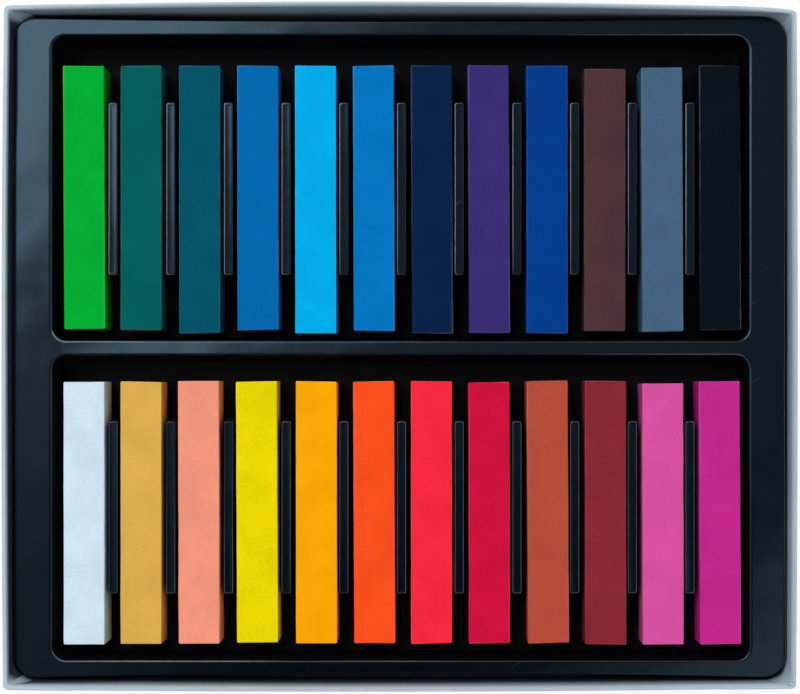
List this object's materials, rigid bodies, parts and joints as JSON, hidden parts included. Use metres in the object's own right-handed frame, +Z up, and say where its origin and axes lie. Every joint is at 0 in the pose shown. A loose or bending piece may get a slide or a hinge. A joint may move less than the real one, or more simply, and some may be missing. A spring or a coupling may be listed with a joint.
{
  "type": "pastel drawer box",
  "caption": "Open paper-wrapped board tray with a black formed insert and two rows of loose square pastel sticks lying between ribs in its wells.",
  "frame": {"origin": "on the surface that the tray stands on, under the middle of its outline", "axes": "+Z up out of the open tray, +X along the long side to the right, +Y to the back, across the rows and along the sticks"},
  "size_m": [0.193, 0.1672, 0.018],
  "materials": {
    "white_paper": "matte",
    "greyboard": "matte",
    "gummed_tape": "matte",
    "black_sheet": "satin",
    "pastel_leaf_green": "matte",
    "pastel_deep_teal": "matte",
    "pastel_petrol_blue": "matte",
    "pastel_mid_blue": "matte",
    "pastel_sky_cyan": "matte",
    "pastel_azure": "matte",
    "pastel_navy": "matte",
    "pastel_violet": "matte",
    "pastel_royal_blue": "matte",
    "pastel_cocoa_brown": "matte",
    "pastel_slate_blue": "matte",
    "pastel_charcoal_black": "matte",
    "pastel_white": "matte",
    "pastel_ochre": "matte",
    "pastel_salmon": "matte",
    "pastel_lemon_yellow": "matte",
    "pastel_golden_yellow": "matte",
    "pastel_orange": "matte",
    "pastel_scarlet": "matte",
    "pastel_crimson": "matte",
    "pastel_rust": "matte",
    "pastel_maroon": "matte",
    "pastel_pink": "matte",
    "pastel_magenta": "matte"
  },
  "bodies": {
    "tray": {"base_sheet": "white_paper", "wall_wrap": "white_paper", "bottom_board": "greyboard", "front_wall_board": "greyboard", "back_wall_board": "greyboard", "left_wall_board": "greyboard", "right_wall_board": "greyboard", "corner_stay_front_left": "gummed_tape", "corner_stay_front_right": "gummed_tape", "corner_stay_back_left": "gummed_tape", "corner_stay_back_right": "gummed_tape"},
    "insert": {"stick_tray_insert": "black_sheet"},
    "stick_leaf_green": {"stick_leaf_green": "pastel_leaf_green"},
    "stick_deep_teal": {"stick_deep_teal": "pastel_deep_teal"},
    "stick_petrol_blue": {"stick_petrol_blue": "pastel_petrol_blue"},
    "stick_mid_blue": {"stick_mid_blue": "pastel_mid_blue"},
    "stick_sky_cyan": {"stick_sky_cyan": "pastel_sky_cyan"},
    "stick_azure": {"stick_azure": "pastel_azure"},
    "stick_navy": {"stick_navy": "pastel_navy"},
    "stick_violet": {"stick_violet": "pastel_violet"},
    "stick_royal_blue": {"stick_royal_blue": "pastel_royal_blue"},
    "stick_cocoa_brown": {"stick_cocoa_brown": "pastel_cocoa_brown"},
    "stick_slate_blue": {"stick_slate_blue": "pastel_slate_blue"},
    "stick_charcoal_black": {"stick_charcoal_black": "pastel_charcoal_black"},
    "stick_white": {"stick_white": "pastel_white"},
    "stick_ochre": {"stick_ochre": "pastel_ochre"},
    "stick_salmon": {"stick_salmon": "pastel_salmon"},
    "stick_lemon_yellow": {"stick_lemon_yellow": "pastel_lemon_yellow"},
    "stick_golden_yellow": {"stick_golden_yellow": "pastel_golden_yellow"},
    "stick_orange": {"stick_orange": "pastel_orange"},
    "stick_scarlet": {"stick_scarlet": "pastel_scarlet"},
    "stick_crimson": {"stick_crimson": "pastel_crimson"},
    "stick_rust": {"stick_rust": "pastel_rust"},
    "stick_maroon": {"stick_maroon": "pastel_maroon"},
    "stick_pink": {"stick_pink": "pastel_pink"},
    "stick_magenta": {"stick_magenta": "pastel_magenta"}
  },
  "joints": [
    {"name": "insert_lift", "type": "slide", "parent": "tray", "child": "insert", "axis": [0, 0, 1], "range_m": [0, 0.025]},
    {"name": "lift_leaf_green", "type": "slide", "parent": "insert", "child": "stick_leaf_green", "axis": [0, 0, 1], "range_m": [0, 0.025]},
    {"name": "lift_deep_teal", "type": "slide", "parent": "insert", "child": "stick_deep_teal", "axis": [0, 0, 1], "range_m": [0, 0.025]},
    {"name": "lift_petrol_blue", "type": "slide", "parent": "insert", "child": "stick_petrol_blue", "axis": [0, 0, 1], "range_m": [0, 0.025]},
    {"name": "lift_mid_blue", "type": "slide", "parent": "insert", "child": "stick_mid_blue", "axis": [0, 0, 1], "range_m": [0, 0.025]},
    {"name": "lift_sky_cyan", "type": "slide", "parent": "insert", "child": "stick_sky_cyan", "axis": [0, 0, 1], "range_m": [0, 0.025]},
    {"name": "lift_azure", "type": "slide", "parent": "insert", "child": "stick_azure", "axis": [0, 0, 1], "range_m": [0, 0.025]},
    {"name": "lift_navy", "type": "slide", "parent": "insert", "child": "stick_navy", "axis": [0, 0, 1], "range_m": [0, 0.025]},
    {"name": "lift_violet", "type": "slide", "parent": "insert", "child": "stick_violet", "axis": [0, 0, 1], "range_m": [0, 0.025]},
    {"name": "lift_royal_blue", "type": "slide", "parent": "insert", "child": "stick_royal_blue", "axis": [0, 0, 1], "range_m": [0, 0.025]},
    {"name": "lift_cocoa_brown", "type": "slide", "parent": "insert", "child": "stick_cocoa_brown", "axis": [0, 0, 1], "range_m": [0, 0.025]},
    {"name": "lift_slate_blue", "type": "slide", "parent": "insert", "child": "stick_slate_blue", "axis": [0, 0, 1], "range_m": [0, 0.025]},
    {"name": "lift_charcoal_black", "type": "slide", "parent": "insert", "child": "stick_charcoal_black", "axis": [0, 0, 1], "range_m": [0, 0.025]},
    {"name": "lift_white", "type": "slide", "parent": "insert", "child": "stick_white", "axis": [0, 0, 1], "range_m": [0, 0.025]},
    {"name": "lift_ochre", "type": "slide", "parent": "insert", "child": "stick_ochre", "axis": [0, 0, 1], "range_m": [0, 0.025]},
    {"name": "lift_salmon", "type": "slide", "parent": "insert", "child": "stick_salmon", "axis": [0, 0, 1], "range_m": [0, 0.025]},
    {"name": "lift_lemon_yellow", "type": "slide", "parent": "insert", "child": "stick_lemon_yellow", "axis": [0, 0, 1], "range_m": [0, 0.025]},
    {"name": "lift_golden_yellow", "type": "slide", "parent": "insert", "child": "stick_golden_yellow", "axis": [0, 0, 1], "range_m": [0, 0.025]},
    {"name": "lift_orange", "type": "slide", "parent": "insert", "child": "stick_orange", "axis": [0, 0, 1], "range_m": [0, 0.025]},
    {"name": "lift_scarlet", "type": "slide", "parent": "insert", "child": "stick_scarlet", "axis": [0, 0, 1], "range_m": [0, 0.025]},
    {"name": "lift_crimson", "type": "slide", "parent": "insert", "child": "stick_crimson", "axis": [0, 0, 1], "range_m": [0, 0.025]},
    {"name": "lift_rust", "type": "slide", "parent": "insert", "child": "stick_rust", "axis": [0, 0, 1], "range_m": [0, 0.025]},
    {"name": "lift_maroon", "type": "slide", "parent": "insert", "child": "stick_maroon", "axis": [0, 0, 1], "range_m": [0, 0.025]},
    {"name": "lift_pink", "type": "slide", "parent": "insert", "child": "stick_pink", "axis": [0, 0, 1], "range_m": [0, 0.025]},
    {"name": "lift_magenta", "type": "slide", "parent": "insert", "child": "stick_magenta", "axis": [0, 0, 1], "range_m": [0, 0.025]}
  ]
}
